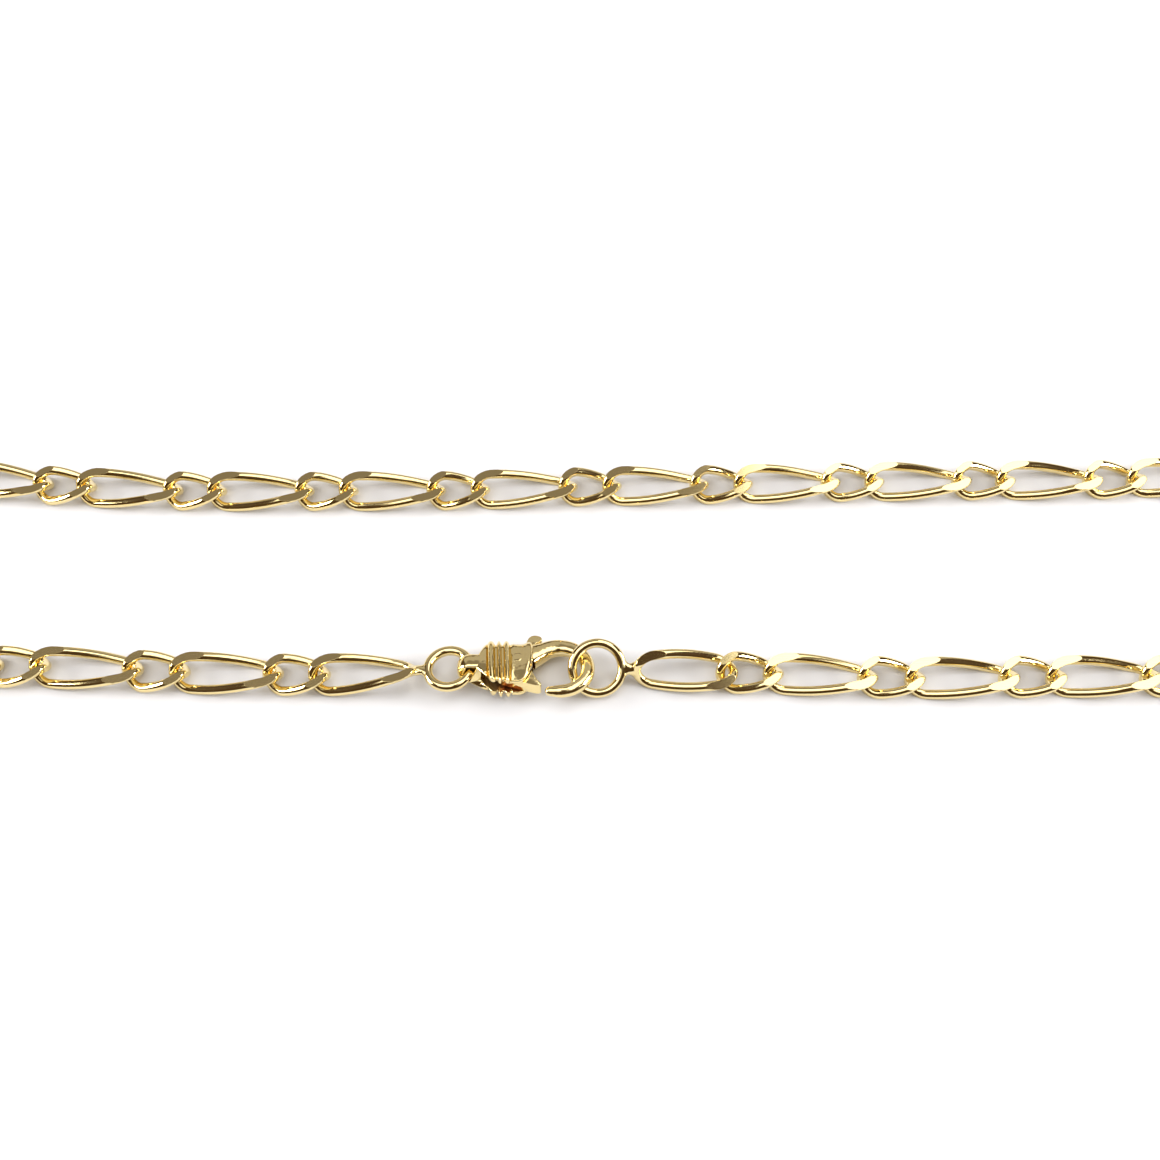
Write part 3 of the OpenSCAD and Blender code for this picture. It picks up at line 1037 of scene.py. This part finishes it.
def eased(corners, cut):
    """An outline with two corners for each one, a cut away from it along both sides."""
    points = []
    befores = corners[-1:] + corners[:-1]
    afters = corners[1:] + corners[:1]
    for before, corner, after in zip(befores, corners, afters):
        for other in (before, after):
            way = other - corner
            points.append(corner + way * min(MOST_CUT, cut / way.length))
    return points


def plate(bm, plan, thickness, softness):
    """A plate from its outline's corners, with rounded edges."""
    corners = [Vector((x, y, 0)) * MM - UP * thickness / 2 for x, y in plan]
    for cut in CORNER_CUTS:
        corners = eased(corners, cut)
    drawn = bmesh.ops.create_vert(bm, co=corners[0])["vert"]
    for corner in corners[1:]:
        drawn += bmesh.ops.extrude_vert_indiv(bm, verts=[drawn[-1]])["verts"]
        drawn[-1].co = corner
    closing = bmesh.ops.contextual_create(bm, geom=[drawn[-1], drawn[0]])["edges"]
    outline = list({edge for vert in drawn for edge in vert.link_edges} | set(closing))
    face = bmesh.ops.contextual_create(bm, geom=outline)["faces"]
    raised = bmesh.ops.extrude_face_region(bm, geom=face, use_keep_orig=True)["geom"]
    top = [item for item in raised if isinstance(item, bmesh.types.BMVert)]
    bmesh.ops.translate(bm, verts=top, vec=(0, 0, thickness))
    part = set(drawn) | set(top)
    edges = [edge for edge in bm.edges if part.issuperset(edge.verts)]
    bmesh.ops.bevel(
        bm,
        geom=edges,
        offset=softness,
        affect="EDGES",
        segments=PLATE_SOFT_STEPS,
        profile=0.5,
        material=-1,
        clamp_overlap=True,
    )


def lever_form():
    """The gate's plate and the arm's thinner one, laid in their place."""
    bm = bmesh.new()
    plate(bm, LEVER_PLAN, LEVER_T, LEVER_SOFT)
    plate(bm, ARM_PLAN, ARM_T, ARM_SOFT)
    tidy(bm)
    bmesh.ops.transform(bm, matrix=clasp_place, verts=bm.verts)
    for face in bm.faces:
        face.smooth = True
    return bm


lever = as_piece(lever_form(), "gate_lever", [cast_gold])
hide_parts("clasp_lever")
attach(lever, "lever")

# %% [markdown]
# ## The pin
# The lever turns on a rivet through both walls. Its shank is a rim carried straight up, and its two
# heads are the same rim, widened, raised a little and closed with a low dome.

# %% Make the pin
PIN_R = 0.4 * MM
PIN_SIDES = 32
PIN_HEAD_R = 0.52 * MM
PIN_HALF = 1.16 * MM
PIN_HEAD_T = 0.1 * MM
PIN_DOME = 0.05 * MM


def pin_form():
    """A rivet with two low domed heads."""
    bm = bmesh.new()
    foot = Matrix.Translation(PIN + Vector((0, 0, -PIN_HALF)))
    first = start_rim(bm, PIN_R, PIN_SIDES, foot @ Matrix.Rotation(-math.pi / 2, 4, "Y"))
    last = carry_on(bm, first, Matrix.Translation((0, 0, 2 * PIN_HALF)))
    for rim, out in ((last, UP), (first, -UP)):
        rim = carry_on(bm, rim, scaled_about(middle_of(rim), PIN_HEAD_R / PIN_R))
        rim = carry_on(bm, rim, Matrix.Translation(out * PIN_HEAD_T))
        round_off(bm, rim, out, PIN_DOME)
    tidy(bm)
    bmesh.ops.transform(bm, matrix=clasp_place, verts=bm.verts)
    for face in bm.faces:
        face.smooth = True
    return bm


pin = as_piece(pin_form(), "rivet", [cast_gold])
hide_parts("lever_pin")
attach(pin, "necklace")

# %% [markdown]
# ## The white table
# The necklace was photographed on white, so bright that the table has no edge. One large square of
# matt white does that, and its own reflection is the pale line under each wire. Gold needs a few
# dark places too, because it shows only what it reflects, so the room round the table stays empty.

# %% Lay the floor
TABLE_HALF = 1.5
TABLE_WHITE = (0.68, 0.68, 0.7, 1)
TABLE_ROUGHNESS = 0.9


def floor_form():
    """A level square about the origin."""
    bm = bmesh.new()
    bmesh.ops.create_grid(bm, x_segments=1, y_segments=1, size=TABLE_HALF)
    return bm


white = Paint("white table")
white_table = white.finish(**{"Base Color": TABLE_WHITE, "Roughness": TABLE_ROUGHNESS})
table = as_piece(floor_form(), "table", [white_table])

# %% [markdown]
# ## An arch of soft panels
# Each panel is an area light that lies on an arch over the strands. Which part of a wire shows a
# panel follows from the law of reflection, so the panels were set by angle: the bright ones give
# the cream bands, the dim one over the left half keeps the ground faces olive there, and the bare
# front gives every wire its dark line. A gap in the two front panels lies over the clasp and its
# right neighbours, and puts a few brown streaks on them. Two small panels at the ends of the strands
# light the table along the chain, which keeps the shadows inside the links and off the table beside
# them. The room itself glows a faint brown, which is the colour that the dark bands take.

# %% Set the lights
PANEL_R = 0.6
ARCH_END = 0.45
DIM_EDGE = 0.078
GAP_FROM = -0.01
GAP_TO = 0.16
PANELS = [
    # from and to on the arch in degrees, left and right end in metres, glow
    (58, 70, -ARCH_END, GAP_FROM, 0.9),
    (58, 70, GAP_TO, ARCH_END, 0.9),
    (70, 82, -ARCH_END, GAP_FROM, 2.2),
    (70, 82, GAP_TO, ARCH_END, 2.2),
    (82, 108, -ARCH_END, ARCH_END, 2.2),
    (108, 138, -ARCH_END, DIM_EDGE, 0.18),
    (108, 138, DIM_EDGE, ARCH_END, 2.2),
    (138, 168, -ARCH_END, ARCH_END, 0.45),
]
END_ELEVATION = 22
END_WIDE = 0.3
END_HIGH = 0.26
END_GLOW = 17
ROOM_COLOUR = (1, 0.6, 0.3, 1)
ROOM_GLOW = 0.075


def add_panel(name, place, wide, high, glow):
    """A rectangle of light, as bright as its glow from wherever it is seen."""
    light = bpy.data.lights.new(name, "AREA")
    light.shape = "RECTANGLE"
    light.size = wide
    light.size_y = high
    light.energy = glow * math.pi * wide * high
    box = bpy.data.objects.new(name, light)
    box.matrix_world = place
    bpy.context.scene.collection.objects.link(box)


def arch_place(degrees, radius, middle):
    """A place on the arch that faces its foot: 0 is level in front and 90 is overhead."""
    turn = Matrix.Rotation(math.radians(90 - degrees), 4, "X")
    return Matrix.Translation((middle, 0, 0)) @ turn @ Matrix.Translation((0, 0, radius))


for number, (start_deg, end_deg, left, right, glow) in enumerate(PANELS):
    half_angle = math.radians(end_deg - start_deg) / 2
    away = PANEL_R * math.cos(half_angle)
    high = 2 * PANEL_R * math.sin(half_angle)
    place = arch_place((start_deg + end_deg) / 2, away, (left + right) / 2)
    add_panel(f"panel {number}", place, right - left, high, glow)
for name, quarter in (("left end", 90), ("right end", -90)):
    turned = Matrix.Rotation(math.radians(quarter), 4, "Z")
    place = turned @ arch_place(180 - END_ELEVATION, PANEL_R, 0)
    add_panel(name, place, END_WIDE, END_HIGH, END_GLOW)

world = bpy.data.worlds.new("room")
world.use_nodes = True
background = world.node_tree.nodes["Background"]
background.inputs["Color"].default_value = ROOM_COLOUR
background.inputs["Strength"].default_value = ROOM_GLOW
bpy.context.scene.world = world
bpy.context.scene.view_settings.view_transform = "Standard"
